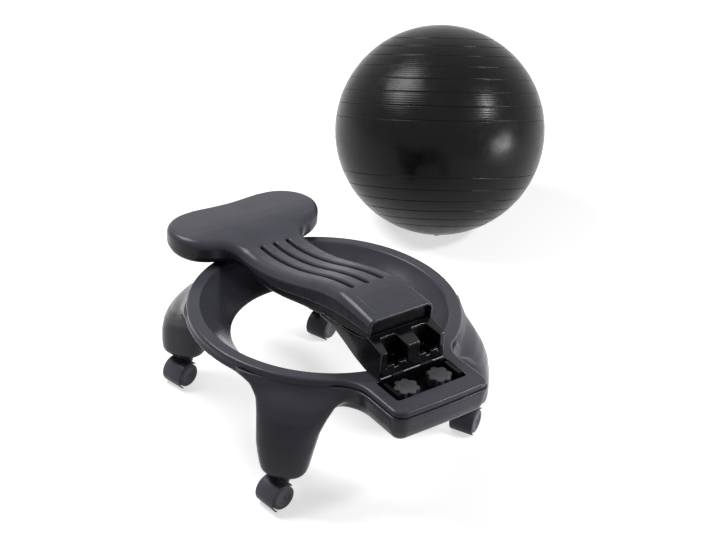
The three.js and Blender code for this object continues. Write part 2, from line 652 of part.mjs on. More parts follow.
function footOutline(grow) {
  const flankTop = rimHeight + backrestSideShares[4][2] * foot.ledgeHeight;
  const flank = flankShares.map(([along, up]) =>
    [foot.flankFrontY + (foot.ledgeY - foot.flankFrontY) * along - grow * (1 - along),
      footBottom + (flankTop - footBottom) * up - grow]);
  const tongueTop = rimHeight + backrestSideShares[0][1] * foot.ledgeHeight - backrest.shell * 2;
  return [...flank, [foot.heelY + grow, footBottom - grow],
    [foot.heelY + grow, rimHeight + foot.ribEndHeight + grow],
    [foot.ledgeY + grow, ledgeTop + grow], [foot.ledgeY + grow, tongueTop + grow],
    [foot.tongueFrontY - grow, tongueTop + grow], [foot.tongueFrontY - grow, flankTop + foot.tongueWall]];
}

function footBody(grow) {
  const tongueHalf = backrest.columnHalfWidth - backrest.shell - clearance;
  const whole = crossPrism(footOutline(grow), -foot.halfWidth - grow, foot.halfWidth + grow);
  const trim = [-1, 1].map((side) => block(
    [side > 0 ? tongueHalf + grow : -foot.halfWidth - overrun, 0, ledgeTop + grow],
    [side > 0 ? foot.halfWidth + overrun : -tongueHalf - grow, foot.heelY, rimHeight + reachY]));
  return whole.subtract(union(trim));
}

function makeFoot() {
  const pocketFloor = rimHeight + foot.pocketFloor;
  const pockets = footPocketSides.map((side) => {
    const [x0, x1] = [side * foot.pocketCentreX - foot.pocketWidth / 2,
      side * foot.pocketCentreX + foot.pocketWidth / 2];
    const slotHalf = foot.slotWidth / 2;
    const sillStart = foot.heelY - foot.sillLength;
    return union([
      block([x0, foot.pocketFrontY, rimHeight + foot.sillHeight], [x1, foot.heelY + overrun, ledgeTop + overrun]),
      block([x0, foot.pocketFrontY, pocketFloor], [x1, sillStart, ledgeTop]),
      block([(x0 + x1) / 2 - slotHalf, sillStart - clearance, pocketFloor],
        [(x0 + x1) / 2 + slotHalf, foot.heelY + overrun, ledgeTop]),
    ]);
  });
  const knuckleGaps = footPocketSides.map((side) => {
    const [x0, x1] = [side * bracket.lugCentreX - bracket.lugWidth / 2 - clearance,
      side * bracket.lugCentreX + bracket.lugWidth / 2 + clearance];
    const sweep = hinge.knuckleRadius + clearance;
    return union([crossRod(sweep, x0, x1, hinge.y, hingeHeight, roundSteps),
      block([x0, hinge.y - sweep, 0], [x1, foot.heelY + overrun, hingeHeight]),
      block([x0, hinge.y, hingeHeight - sweep], [x1, foot.heelY + overrun, hingeHeight + sweep])]);
  });
  const bore = crossRod(hinge.radius + clearance, -foot.halfWidth - overrun, foot.halfWidth + overrun,
    hinge.y, hingeHeight);
  return footBody(0).subtract(union([...pockets, ...knuckleGaps, bore]));
}

const footSpace = footBody(clearance);
const shellBody = backrestBody(0).subtract(backrestBody(backrest.shell)).subtract(footSpace);
const rearSlots = union([-1, 0, 1].map(slotCutter));
piece('backrest_foot', makeFoot(), blackMoulding);
piece('backrest_rear_shell', shellBody.intersect(partingSide(true)).subtract(rearSlots), charcoal);
piece('backrest_front_shell', shellBody.intersect(partingSide(false)), charcoal);

// Ball: an inflated shell with a valve hole at its lower pole and a plug in it
function makeBall() {
  const steps = ballSteps / 2;
  const innerRadius = ballRadius - ball.wall;
  const holeTurn = Math.asin(valve.bore / ballRadius);
  const arc = (radius, from, to) => Array.from({ length: steps + 1 }, (_, i) => {
    const turn = from + (to - from) * i / steps;
    return [radius * Math.sin(turn), radius * Math.cos(turn)];
  });
  const outer = arc(ballRadius, 0, Math.PI - holeTurn);
  const inner = arc(innerRadius, Math.PI - holeTurn, 0);
  outer[0][0] = 0;
  inner[steps][0] = 0;
  return revolve([...outer, ...inner], ballSteps);
}

function makePlug() {
  const seat = -ballRadius * Math.cos(Math.asin(valve.flangeRadius / ballRadius)) - clearance * 2;
  const flange = seat - valve.flangeThickness;
  const stemRadius = valve.bore - clearance;
  return revolve([[0, flange - valve.gripHeight], [valve.gripRadius, flange - valve.gripHeight],
    [valve.gripRadius, flange], [valve.flangeRadius, flange], [valve.flangeRadius, seat - clearance],
    [stemRadius, seat - clearance], [stemRadius, seat + valve.stemLength], [0, seat + valve.stemLength]],
  smallSteps);
}

const ballGroup = new THREE.Group();
const leanWay = THREE.MathUtils.degToRad(ball.leanTowardDeg);
ballGroup.position.set(ball.x, ball.y, ballRadius);
ballGroup.quaternion.setFromAxisAngle(
  new THREE.Vector3(-Math.sin(leanWay), Math.cos(leanWay), 0), THREE.MathUtils.degToRad(ball.leanDeg));
group.add(ballGroup);
piece('seat_ball', makeBall(), ballRubber, ballGroup);
piece('valve_plug', makePlug(), valvePlastic, ballGroup);

// The origin is the middle of the whole set's footprint, on the floor.
group.updateMatrixWorld(true);
const bounds = new THREE.Box3().setFromObject(group, true);
const middle = bounds.getCenter(new THREE.Vector3());
group.position.set(-middle.x, -middle.y, -bounds.min.z);
group.updateMatrixWorld(true);

export default group;
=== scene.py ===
import math

import bpy
import numpy as np
from mathutils import Matrix, Vector
from mathutils.geometry import delaunay_2d_cdt


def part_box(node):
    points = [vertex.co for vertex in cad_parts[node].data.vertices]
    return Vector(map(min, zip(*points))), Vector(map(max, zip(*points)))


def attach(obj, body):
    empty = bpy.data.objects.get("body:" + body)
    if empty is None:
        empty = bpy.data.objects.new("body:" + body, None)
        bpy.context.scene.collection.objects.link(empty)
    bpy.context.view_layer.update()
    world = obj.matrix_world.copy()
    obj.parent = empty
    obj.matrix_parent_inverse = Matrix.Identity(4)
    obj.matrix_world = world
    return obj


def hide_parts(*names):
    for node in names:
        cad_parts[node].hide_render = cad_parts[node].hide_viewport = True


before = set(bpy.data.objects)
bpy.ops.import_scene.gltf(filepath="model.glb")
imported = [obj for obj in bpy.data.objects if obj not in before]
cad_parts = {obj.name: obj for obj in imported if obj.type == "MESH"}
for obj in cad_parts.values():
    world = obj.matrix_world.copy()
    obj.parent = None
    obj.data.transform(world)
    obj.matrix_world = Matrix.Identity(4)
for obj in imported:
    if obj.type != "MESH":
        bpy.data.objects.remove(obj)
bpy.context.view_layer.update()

# Lengths below are in millimetres from the middle of the ring on the floor: +X is the sitter's left,
# +Y the side of the deck and the backrest's hinge, +Z up. The frame and the meshes are in metres.
SHELL_REAR = 386.0  # the rearmost point of the CAD shell
RIM_TOP = 254.0

shell_low, shell_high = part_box("base_shell")
RING_X = (shell_low.x + shell_high.x) / 2
RING_Y = shell_high.y - SHELL_REAR / 1000


def place(x, y, z):
    """A place in mm as a place in the scene."""
    return Vector((RING_X + x / 1000, RING_Y + y / 1000, z / 1000))


# ---------------------------------------------------------------- mesh helpers
def add_mesh(name, points, faces, body, nodes=(), material=None):
    """A smooth-shaded piece from points in mm, riding on a body and standing for CAD nodes."""
    points = np.asarray(points, dtype=np.float64) / 1000 + np.array([RING_X, RING_Y, 0.0])
    mesh = bpy.data.meshes.new(name)
    mesh.from_pydata(points.tolist(), [], [tuple(int(i) for i in face) for face in faces])
    mesh.validate()
    mesh.update()
    piece = bpy.data.objects.new(name, mesh)
    bpy.context.scene.collection.objects.link(piece)
    mesh.polygons.foreach_set("use_smooth", [True] * len(mesh.polygons))
    mesh.materials.append(material)
    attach(piece, body)
    if nodes:
        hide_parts(*nodes)
    return piece


def bridge(count, rows, closed=True, flip=False):
    """Quads between rows that each hold `count` points."""
    faces = []
    for row in range(rows - 1):
        for i in range(count if closed else count - 1):
            j = (i + 1) % count
            quad = (row * count + i, row * count + j, (row + 1) * count + j, (row + 1) * count + i)
            faces.append(quad[::-1] if flip else quad)
    return faces


def lathe(profile, steps):
    """Points and faces of a body of revolution about Z from (radius, height) points."""
    profile = np.asarray(profile, dtype=float)
    turns = np.linspace(0, 2 * math.pi, steps, endpoint=False)
    points = np.concatenate([
        np.stack([r * np.cos(turns), r * np.sin(turns), np.full(steps, z)], axis=1) for r, z in profile])
    return points, bridge(steps, len(profile))


def arc(cx, cy, radius, start, end, steps):
    """Points along an arc, with its angles in degrees."""
    turns = np.radians(np.linspace(start, end, steps + 1))
    return np.stack([cx + radius * np.cos(turns), cy + radius * np.sin(turns)], axis=1)


def smooth_curve(points, low, high, blur):
    """A table of the curve through (place, value) points: a row per mm, smoothed over `blur` mm each way."""
    points = sorted(points)
    places = np.arange(low - 60, high + 61, 1.0)
    values = np.interp(places, [p[0] for p in points], [p[1] for p in points])
    window = np.hanning(int(blur) * 2 + 3)[1:-1]
    padded = np.pad(values, len(window) // 2, mode="edge")
    return places, np.convolve(padded, window / window.sum(), mode="valid")


# ---------------------------------------------------------------- solids as distance fields
# A field gives about the distance to a solid's surface in mm, less than zero inside
def both(a, b, radius):
    """Where both solids are, with the edge between them rounded."""
    u, v = np.maximum(a + radius, 0), np.maximum(b + radius, 0)
    return np.minimum(-radius, np.maximum(a, b)) + np.hypot(u, v)


def melt(a, b, reach):
    """One solid flowing softly into the other."""
    share = np.clip(0.5 + 0.5 * (b - a) / reach, 0, 1)
    return b + (a - b) * share - reach * share * (1 - share)


def box_field(x, y, z, low, high):
    """Signed distance to a box."""
    centre = [(a + b) / 2 for a, b in zip(low, high)]
    half = [(b - a) / 2 for a, b in zip(low, high)]
    q = [np.abs(v - c) - h for v, c, h in zip((x, y, z), centre, half)]
    outside = np.sqrt(sum(np.maximum(v, 0) ** 2 for v in q))
    return outside + np.minimum(np.maximum(np.maximum(q[0], q[1]), q[2]), 0)


def polygon_field(x, y, polygon):
    """Signed distance to a closed polygon, less than zero inside."""
    x, y = np.broadcast_arrays(x, y)
    shape = x.shape
    x, y = x.ravel(), y.ravel()
    result = np.empty(x.size)
    a = np.asarray(polygon, dtype=float)
    b = np.roll(a, -1, axis=0)
    edge = b - a
    length2 = (edge ** 2).sum(axis=1)
    keep = length2 > 1e-9
    a, b, edge, length2 = a[keep], b[keep], edge[keep], length2[keep]
    for start in range(0, x.size, 20000):
        px, py = x[start:start + 20000, None], y[start:start + 20000, None]
        wx, wy = px - a[:, 0], py - a[:, 1]
        t = np.clip((wx * edge[:, 0] + wy * edge[:, 1]) / length2, 0, 1)
        distance = np.hypot(wx - t * edge[:, 0], wy - t * edge[:, 1]).min(axis=1)
        above = a[:, 1] > py
        crossing = above != (b[:, 1] > py)
        with np.errstate(divide="ignore", invalid="ignore"):
            cut = edge[:, 0] * (py - a[:, 1]) / edge[:, 1] + a[:, 0]
        inside = (crossing & (px < cut)).sum(axis=1) % 2 == 1
        result[start:start + 20000] = np.where(inside, -distance, distance)
    return result.reshape(shape)


def distance_table(polygon, margin=24.0, step=1.0):
    """The signed distance to a polygon, looked up in a grid of 1 mm."""
    polygon = np.asarray(polygon, dtype=float)
    low, high = polygon.min(axis=0) - margin, polygon.max(axis=0) + margin
    xs, ys = np.arange(low[0], high[0], step), np.arange(low[1], high[1], step)
    table = polygon_field(xs[:, None], ys[None, :], polygon)

    def look_up(x, y):
        x, y = np.broadcast_arrays(x, y)
        u = np.clip((x - low[0]) / step, 0, len(xs) - 1.001)
        v = np.clip((y - low[1]) / step, 0, len(ys) - 1.001)
        i, j = u.astype(int), v.astype(int)
        u, v = u - i, v - j
        near = table[i, j] * (1 - u) + table[i + 1, j] * u
        far = table[i, j + 1] * (1 - u) + table[i + 1, j + 1] * u
        beyond = np.hypot(x - np.clip(x, low[0], high[0]), y - np.clip(y, low[1], high[1]))
        return near * (1 - v) + far * v + beyond
    return look_up


def field_surface(field, low, high, step):
    """Points and quads of the surface where the field is zero, by surface nets."""
    axes = [np.arange(a, b + step, step) for a, b in zip(low, high)]
    nx, ny, nz = (len(axis) for axis in axes)
    gx, gy = axes[0][:, None, None], axes[1][None, :, None]
    values = np.empty((nx, ny, nz), dtype=np.float32)
    for k in range(0, nz, 8):
        values[:, :, k:k + 8] = field(gx, gy, axes[2][None, None, k:k + 8])
    inside = values < 0
    total = np.zeros((nx - 1, ny - 1, nz - 1), dtype=np.int8)
    offsets = [(i, j, k) for i in (0, 1) for j in (0, 1) for k in (0, 1)]
    for i, j, k in offsets:
        total += inside[i:nx - 1 + i, j:ny - 1 + j, k:nz - 1 + k]
    cells = np.argwhere((total > 0) & (total < 8))
    index = np.full((nx - 1, ny - 1, nz - 1), -1, dtype=np.int64)
    index[tuple(cells.T)] = np.arange(len(cells))
    corner = {o: values[cells[:, 0] + o[0], cells[:, 1] + o[1], cells[:, 2] + o[2]] for o in offsets}
    summed, count = np.zeros((len(cells), 3)), np.zeros(len(cells))
    for o in offsets:
        for axis in range(3):
            if o[axis]:
                continue
            p = tuple(1 if n == axis else o[n] for n in range(3))
            va, vb = corner[o], corner[p]
            cross = (va < 0) != (vb < 0)
            t = np.where(cross, va / np.where(cross, va - vb, 1), 0)
            point = np.array(o, dtype=float)[None, :].repeat(len(cells), axis=0)
            point[:, axis] += t
            summed += point * cross[:, None]
            count += cross
    points = (cells + summed / count[:, None]) * step + np.array(low, dtype=float)
    faces = []
    for axis in range(3):
        u, v = (axis + 1) % 3, (axis + 2) % 3
        first = [slice(None)] * 3
        second = [slice(None)] * 3
        first[axis], second[axis] = slice(0, -1), slice(1, None)
        a, b = inside[tuple(first)], inside[tuple(second)]
        where = np.argwhere(a != b)
        where = where[(where[:, u] > 0) & (where[:, v] > 0)]
        where = where[(where[:, u] < values.shape[u] - 1) & (where[:, v] < values.shape[v] - 1)]
        ring = []
        for du, dv in ((-1, -1), (0, -1), (0, 0), (-1, 0)):
            cell = where.copy()
            cell[:, u] += du
            cell[:, v] += dv
            ring.append(index[tuple(cell.T)])
        quads = np.stack(ring, axis=1)
        outward = a[tuple(where.T)]
        quads[~outward] = quads[~outward][:, ::-1]
        faces.append(quads)
    faces = np.concatenate(faces)
    return settle(field, points, step), faces


def slope_of(field, points, reach=0.2):
    """The field's value and its slope at points."""
    slopes = []
    for axis in range(3):
        ahead, behind = points.copy(), points.copy()
        ahead[:, axis] += reach
        behind[:, axis] -= reach
        slopes.append((field(*ahead.T) - field(*behind.T)) / (2 * reach))
    return field(*points.T), np.stack(slopes, axis=1)


def settle(field, points, step):
    """Points moved on to the surface."""
    start = points.copy()
    for _ in range(3):
        value, slope = slope_of(field, points)
        steep = np.maximum((slope ** 2).sum(axis=1), 0.05)
        points = points - slope * (value / steep)[:, None]
    return start + np.clip(points - start, -0.8 * step, 0.8 * step)


# ---------------------------------------------------------------- materials
CLOUD_SIZE, SMUDGE_SIZE = 60.0, 24.0  # mm
NOISE_SPAN = (0.3, 0.7)  # the part of a noise that is spread over the full change of tone or gloss
GRAIN_HEIGHT = 0.0002  # metres


def node_material(name, color, roughness, grain, grain_size=0.8, cloud=0.08, metallic=0.0, specular=0.5,
                  rough_swing=0.06):
    """Moulded plastic or metal: a fine grain (its size in mm), and slow changes of tone and gloss."""
    material = bpy.data.materials.new(name)
    material.use_nodes = True
    nodes, links = material.node_tree.nodes, material.node_tree.links
    shader = nodes["Principled BSDF"]
    shader.inputs["Metallic"].default_value = metallic
    shader.inputs["Specular IOR Level"].default_value = specular
    where = nodes.new("ShaderNodeTexCoord")

    clouds = nodes.new("ShaderNodeTexNoise")
    clouds.inputs["Scale"].default_value = 1000 / CLOUD_SIZE
    clouds.inputs["Detail"].default_value = 3
    links.new(where.outputs["Object"], clouds.inputs["Vector"])
    tone = nodes.new("ShaderNodeMapRange")
    tone.inputs["From Min"].default_value, tone.inputs["From Max"].default_value = NOISE_SPAN
    tone.inputs["To Min"].default_value = 1 - cloud
    tone.inputs["To Max"].default_value = 1 + cloud
    links.new(clouds.outputs["Fac"], tone.inputs["Value"])
    paint = nodes.new("ShaderNodeMix")
    paint.data_type = "RGBA"
    paint.blend_type = "MULTIPLY"
    paint.inputs["Factor"].default_value = 1
    paint.inputs["A"].default_value = (*color, 1)
    links.new(tone.outputs["Result"], paint.inputs["B"])
    links.new(paint.outputs["Result"], shader.inputs["Base Color"])

    smudges = nodes.new("ShaderNodeTexNoise")
    smudges.inputs["Scale"].default_value = 1000 / SMUDGE_SIZE
    smudges.inputs["Detail"].default_value = 4
    links.new(where.outputs["Object"], smudges.inputs["Vector"])
    gloss = nodes.new("ShaderNodeMapRange")
    gloss.inputs["From Min"].default_value, gloss.inputs["From Max"].default_value = NOISE_SPAN
    gloss.inputs["To Min"].default_value = max(roughness - rough_swing, 0.02)
    gloss.inputs["To Max"].default_value = roughness + rough_swing
    links.new(smudges.outputs["Fac"], gloss.inputs["Value"])
    links.new(gloss.outputs["Result"], shader.inputs["Roughness"])

    grains = nodes.new("ShaderNodeTexNoise")
    grains.inputs["Scale"].default_value = 1000 / grain_size
    grains.inputs["Detail"].default_value = 2
    links.new(where.outputs["Object"], grains.inputs["Vector"])
    bump = nodes.new("ShaderNodeBump")
    bump.inputs["Strength"].default_value = grain
    bump.inputs["Distance"].default_value = GRAIN_HEIGHT
    links.new(grains.outputs["Fac"], bump.inputs["Height"])
    links.new(bump.outputs["Normal"], shader.inputs["Normal"])
    return material


charcoal = node_material("charcoal_moulding", (0.035, 0.035, 0.045), 0.27, 0.05, grain_size=3.5,
                         specular=0.17, rough_swing=0.04)
# A darker copy of the charcoal as painted shade, for the backrest's lower moulding on its shaded underside
charcoal_painted_shade = node_material("charcoal_underside_painted_shade", (0.016, 0.016, 0.020), 0.34, 0.05, grain_size=3.5,
                             specular=0.12)
gloss_black = node_material("black_moulding", (0.006, 0.006, 0.008), 0.15, 0.02, grain_size=1.5,
                            specular=0.25)
# Flat black that stands for shade: painted shade in the knob recess, on the slides and stop rails in it, and
# on the foot's tongue in the column's hollow end
painted_shade_black = node_material("recess_painted_shade", (0.003, 0.003, 0.004), 0.4, 0.1, specular=0.1)
knob_grey = node_material("knob_moulding", (0.064, 0.065, 0.070), 0.6, 0.4, grain_size=0.6, specular=0.15)
caster_grey = node_material("caster_moulding", (0.072, 0.072, 0.086), 0.36, 0.1, specular=0.11)
ball_black = node_material("ball_vinyl", (0.003, 0.003, 0.003), 0.26, 0.05, grain_size=3, cloud=0.1,
                           specular=0.14)
valve_black = node_material("valve_plastic", (0.012, 0.012, 0.012), 0.5, 0.3)
steel = node_material("zinc_steel", (0.42, 0.42, 0.43), 0.32, 0.2, metallic=1.0)
dark_steel = node_material("oiled_steel", (0.16, 0.16, 0.165), 0.4, 0.1, metallic=1.0)

# ---------------------------------------------------------------- base: ring, legs and deck
# Sections of the ring and of the space inside its bowl, as (radius, height)
RING_SECTION = [(188, 183), (249, 221), (266, 230), (275.6, 232.5), (276, 234), (273.4, 241), (273.2, 246),
                (246, 246), (240, 236)]
BOWL_SPACE = [(0, 100), (187, 100), (187.5, 184.5), (193, 190), (201, 198), (211, 207.6), (221, 217.2),
              (230, 226.4), (237, 234.4), (243, 241.6), (247.5, 248), (249, 300), (0, 300)]
BAND, BAND_BOTTOM = 273.0, 241.5  # outer radius of the rim band, and where the rim plate sits on the moulding
DECK_HALF, DECK_REAR, DECK_CORNER, DECK_FILLET, DECK_BOTTOM = 107.0, 385.0, 24.0, 70.0, 187.5
CORNER_DRAW, CROWN_DRAW = 1.5, 0.5  # how far the bowed rear edge stays back at its corners and quarters
RECESS_HALF, RECESS_FRONT, RECESS_REAR, RECESS_FLOOR = 80.0, 277.0, 344.0, 228.0
RECESS_CORNER, RECESS_LIP, RECESS_ROOM = 6.0, 1.6, 3.0

fillet_x = DECK_HALF + DECK_FILLET
fillet_y = math.sqrt((BAND + DECK_FILLET) ** 2 - fillet_x ** 2)
fillet_start = math.degrees(math.atan2(-fillet_y, -fillet_x)) % 360


def mirror(half):
    """The whole of an outline from its half at +X, which ends on the middle line."""
    return np.concatenate([half, half[:-1][::-1] * np.array([-1, 1])])


def deck_outline(inset, steps):
    """The deck's plan, from the ring round the rear edge to the ring again, drawn in by an inset."""
    side = arc(fillet_x, fillet_y, DECK_FILLET + inset, fillet_start, 180, steps)
    corner = arc(DECK_HALF - DECK_CORNER, DECK_REAR - DECK_CORNER - CORNER_DRAW, DECK_CORNER - inset, 0, 90,
                 steps)
    crown = np.array([[DECK_HALF * 0.4, DECK_REAR - CROWN_DRAW - inset], [0, DECK_REAR - inset]])
    return mirror(np.concatenate([side, corner, crown]))


# The deck's outline is closed by a line inside the ring
deck_distance = distance_table(np.concatenate([deck_outline(0, 24), [[-60, 200], [60, 200]]]))
ring_distance = distance_table(RING_SECTION)
bowl_distance = distance_table(BOWL_SPACE)

LEG_ROWS = np.array([
    # height, outer pull, half width, draw to the rim, turn, power of the section
    [60, 0.94, 0.80, 0, 0, 2.7], [74.6, 0.97, 0.87, 0, 0, 2.7], [92.3, 1, 0.95, 0, 0, 2.7],
    [110, 1, 1.02, 0.01, 0, 2.7], [132, 1, 1.10, 0.04, 0.05, 2.7], [159.6, 1, 1.18, 0.13, 0.2, 2.6],
    [184.4, 1, 1.31, 0.28, 0.5, 2.4], [205.6, 0.97, 1.48, 0.49, 0.8, 2.2], [223.3, 0.93, 1.85, 0.76, 1, 2.0],
    [241, 0.82, 2.4, 0.97, 1, 2.0]])
LEG_HALF, LEG_INNER, SOLE, SOLE_ROUND, RIM_REACH, INNERMOST = 51.0, 50.0, 64.0, 17.0, 272.0, 227.0
# Each leg's place, the turn of its top in degrees, and how far its outer face stands out from that place
LEG_PLACES = [(228, 208, 2.5, 32), (-228, 208, -2.5, 32), (177, -246, 3, 43), (-177, -246, -3, 43)]


def leg_field(x, y, z, leg_x, leg_y, top_turn, reach):
    """A leg: rounded sections in line with the ring's radius, which grow into the rim above."""
    distance, bearing = math.hypot(leg_x, leg_y), math.atan2(leg_y, leg_x)
    heights, depth, width, draw, turn, power = LEG_ROWS.T
    outer = distance + reach * depth + (RIM_REACH - distance - reach) * draw
    inner = np.maximum(distance - LEG_INNER * depth - (distance - INNERMOST) * draw / 2,
                       INNERMOST - LEG_INNER * (1 - draw))
    tables = [smooth_curve(list(zip(heights, row)), 60, 245, 8)
              for row in (outer, inner, LEG_HALF * width, turn, power)]
    outer, inner, spread, turn, power = (np.interp(z, *table) for table in tables)
    way = bearing + math.radians(top_turn) * turn
    r = x * np.cos(way) + y * np.sin(way)
    t = -x * np.sin(way) + y * np.cos(way)
    centre, depth = (outer + inner) / 2, (outer - inner) / 2
    u, v = np.abs(r - centre) / depth, np.abs(t) / spread
    section = ((u ** power + v ** power + 1e-9) ** (1 / power) - 1) * np.minimum(depth, spread)
    return both(section, SOLE - z, SOLE_ROUND)


# How far the deck's wall draws in, by height: a soft tuck at the bottom
deck_tuck = smooth_curve([(180, 15), (186, 14), (192, 8), (200, 3.5), (212, 0), (236, -3), (246, -3)],
                         180, 246, 4)


def base_field(x, y, z):
    """Ring, deck and legs as one moulding, with the bowl's space and room for the knob recess cut out."""
    radius = np.hypot(x, y)
    body = ring_distance(radius, z)
    deck = both(deck_distance(x, y) + np.interp(z, *deck_tuck), DECK_BOTTOM - z, 9)
    body = melt(body, deck, 14)
    # the legs flow widely into the ring's underside, and closely into the band above it
    leg_melt = np.interp(z, [195, 225, 240], [22, 13, 3])
    for leg_place in LEG_PLACES:
        body = melt(body, leg_field(x, y, z, *leg_place), leg_melt)
    body = both(body, -bowl_distance(radius, z), 2)
    recess = box_field(x, y, z, (-RECESS_HALF - RECESS_ROOM, RECESS_FRONT - RECESS_ROOM, RECESS_FLOOR - 4),
                       (RECESS_HALF + RECESS_ROOM, RECESS_REAR + RECESS_ROOM, 300))
    body = np.maximum(body, -recess)
    return both(body, z - BAND_BOTTOM, 1.2)


points, faces = field_surface(base_field, (-300, -320, 58), (300, 396, 246), 2.5)
add_mesh("base_moulding", points, faces, "base", ["base_shell"], charcoal)


def rim_contour(inset):
    """Plan of the rim plate: the ring's circle flowing into the deck, drawn in by an inset."""
    deck = deck_outline(inset, 20)
    start, end = (math.degrees(math.atan2(y, x)) for x, y in (deck[-1], deck[0]))
    return np.concatenate([deck, arc(0, 0, BAND - inset, start, end + 360, 220)[1:-1]])


def rounded_rectangle(x0, y0, x1, y1, radius, steps=8):
    """Points round a rectangle with round corners."""
    corners = [(x1 - radius, y1 - radius, 0), (x0 + radius, y1 - radius, 90),
               (x0 + radius, y0 + radius, 180), (x1 - radius, y0 + radius, 270)]
    return np.concatenate([arc(cx, cy, radius, turn, turn + 90, steps) for cx, cy, turn in corners])


def flat_with_holes(outer, holes, z):
    """A flat face between an outline and its holes."""
    loops = [outer, *holes]
    places, edges, start = [], [], 0
    for loop in loops:
        places += [Vector(p) for p in loop]
        edges += [(start + i, start + (i + 1) % len(loop)) for i in range(len(loop))]
        start += len(loop)
    flat, _, triangles, _, _, _ = delaunay_2d_cdt(places, edges, [], 0, 1e-4)
    flat = np.array([tuple(p) for p in flat])
    kept = []
    for face in triangles:
        middle = flat[list(face)].mean(axis=0)
        if polygon_field(middle[0:1], middle[1:2], outer)[0] < 0 and all(
                polygon_field(middle[0:1], middle[1:2], hole)[0] > 0 for hole in holes):
            kept.append(face)
    return np.column_stack([flat, np.full(len(flat), z)]), kept


def recess_outline(grow):
    """Plan of the recess, grown all round."""
    return rounded_rectangle(-RECESS_HALF - grow, RECESS_FRONT - grow, RECESS_HALF + grow, RECESS_REAR + grow,
                             RECESS_CORNER + grow)


# Rim plate: the rounded band and deck top, with a groove under its edge at the deck that fades along the
# ring. Rows of the edge are (inset, height); those below GROOVE_TOP make the groove.
EDGE_ROUND, GROOVE_TOP, GROOVE_START, GROOVE_FADE, TUCKED = 6.5, 244.5, 226.0, 60.0, 237.0
BOWL_EDGE = 250.0  # inner radius of the flat top
edge_rows = [(2.6, 240.6), (2.4, 243.0), (1.0, 243.2), (0.3, 243.7), (0, 244.6), (0, RIM_TOP - EDGE_ROUND)]
for a in np.radians((15, 30, 45, 60, 75, 90)):
    edge_rows.append((EDGE_ROUND * (1 - math.cos(a)), RIM_TOP - EDGE_ROUND * (1 - math.sin(a))))
outline = rim_contour(0)
groove = np.clip((outline[:, 1] - GROOVE_START) / GROOVE_FADE, 0, 1)
groove = groove * groove * (3 - 2 * groove)
rows = []
for inset, z in edge_rows:
    flat, height = rim_contour(inset), np.full(len(outline), z)
    if z < GROOVE_TOP:
        flat = outline + (flat - outline) * groove[:, None]
        if z < BAND_BOTTOM:
            # where there is no groove, the lowest row ends inside the moulding
            height = np.where(groove > 0.02, z, TUCKED)
    rows.append(np.column_stack([flat, height]))
count = len(rows[0])
points, faces = np.concatenate(rows), bridge(count, len(rows))
inset, z = edge_rows[-1]
bowl_edge = arc(0, 0, BOWL_EDGE, 0, 360, 180)[:-1]
top_points, top_faces = flat_with_holes(rim_contour(inset), [bowl_edge, recess_outline(RECESS_LIP)], z)
faces += [tuple(len(points) + i for i in face) for face in top_faces]
points = np.concatenate([points, top_points])
add_mesh("rim_plate", points, faces, "base", material=charcoal)

# Bowl wall from the rim down to the mouth
bowl = [(BOWL_EDGE, RIM_TOP), (248.2, 253.7), (246.6, 252.8), (245.2, 251.2), (243.4, 248.4), (240.4, 244.2),
        (235, 237.4), (228, 229.4), (219, 220.2), (209, 210.6), (199, 200.8), (191, 192.8), (187.2, 188.6),
        (185.4, 186), (185, 184), (185.6, 181.8), (187.4, 180.4), (190, 180.4), (196, 184)]
points, faces = lathe(bowl, 220)
add_mesh("bowl_wall", points, [f[::-1] for f in faces], "base", material=charcoal)

# Recess for the knobs: its rounded edge is charcoal, and all below it is painted shade in flat black
RECESS_SHADE_TOP = 251.5
recess_rows = [(RECESS_LIP, RIM_TOP), (0.7, 253.7), (0.1, 252.9), (0, 251.8), (0, RECESS_FLOOR + 0.1),
               (-0.1, RECESS_FLOOR)]
rows = []
for grow, z in recess_rows:
    outline = recess_outline(grow)
    rows.append(np.column_stack([outline, np.full(len(outline), z)]))
count = len(rows[0])
points = np.concatenate(rows)
faces = [f[::-1] for f in bridge(count, len(rows))] + [tuple(range(len(points) - count, len(points)))]
recess = add_mesh("knob_recess", points, faces, "base", material=charcoal)
recess.data.materials.append(painted_shade_black)
for polygon in recess.data.polygons:
    polygon.material_index = 1 if polygon.center.z < RECESS_SHADE_TOP / 1000 else 0

# ---------------------------------------------------------------- backrest
# The pad's ends are arcs about (PAD_X, PAD_Y), which run into the column's sides by arcs of the neck
COLUMN_FOOT, COLUMN_NECK, COLUMN_END = 70.0, 76.0, 240.0
PAD_X, PAD_Y, PAD_R, NECK_R = 93.0, -305.0, 80.0, 50.0
neck_x = COLUMN_NECK + NECK_R
neck_rise = math.sqrt((PAD_R + NECK_R) ** 2 - (neck_x - PAD_X) ** 2)
neck_y = PAD_Y + neck_rise
meet = math.degrees(math.atan2(neck_rise, neck_x - PAD_X))


def backrest_plan():
    """The backrest from above. It runs past the column's end, where the fields below cut it off."""
    side = [(COLUMN_FOOT + 3.4, COLUMN_END + 40), (COLUMN_FOOT + 3.4, 150), (COLUMN_FOOT + 1.5, 100),
            (COLUMN_FOOT + 1, 60)]
    neck = arc(neck_x, neck_y, NECK_R, 180, 180 + meet, 24)
    cap = arc(PAD_X, PAD_Y, PAD_R, meet, -82, 40)[1:]
    front = [(80, -386.5), (60, -384.8), (40, -382.4), (20, -380.4), (0, -379.6)]
    return mirror(np.concatenate([side, neck, cap, front]))


back_distance = distance_table(backrest_plan())
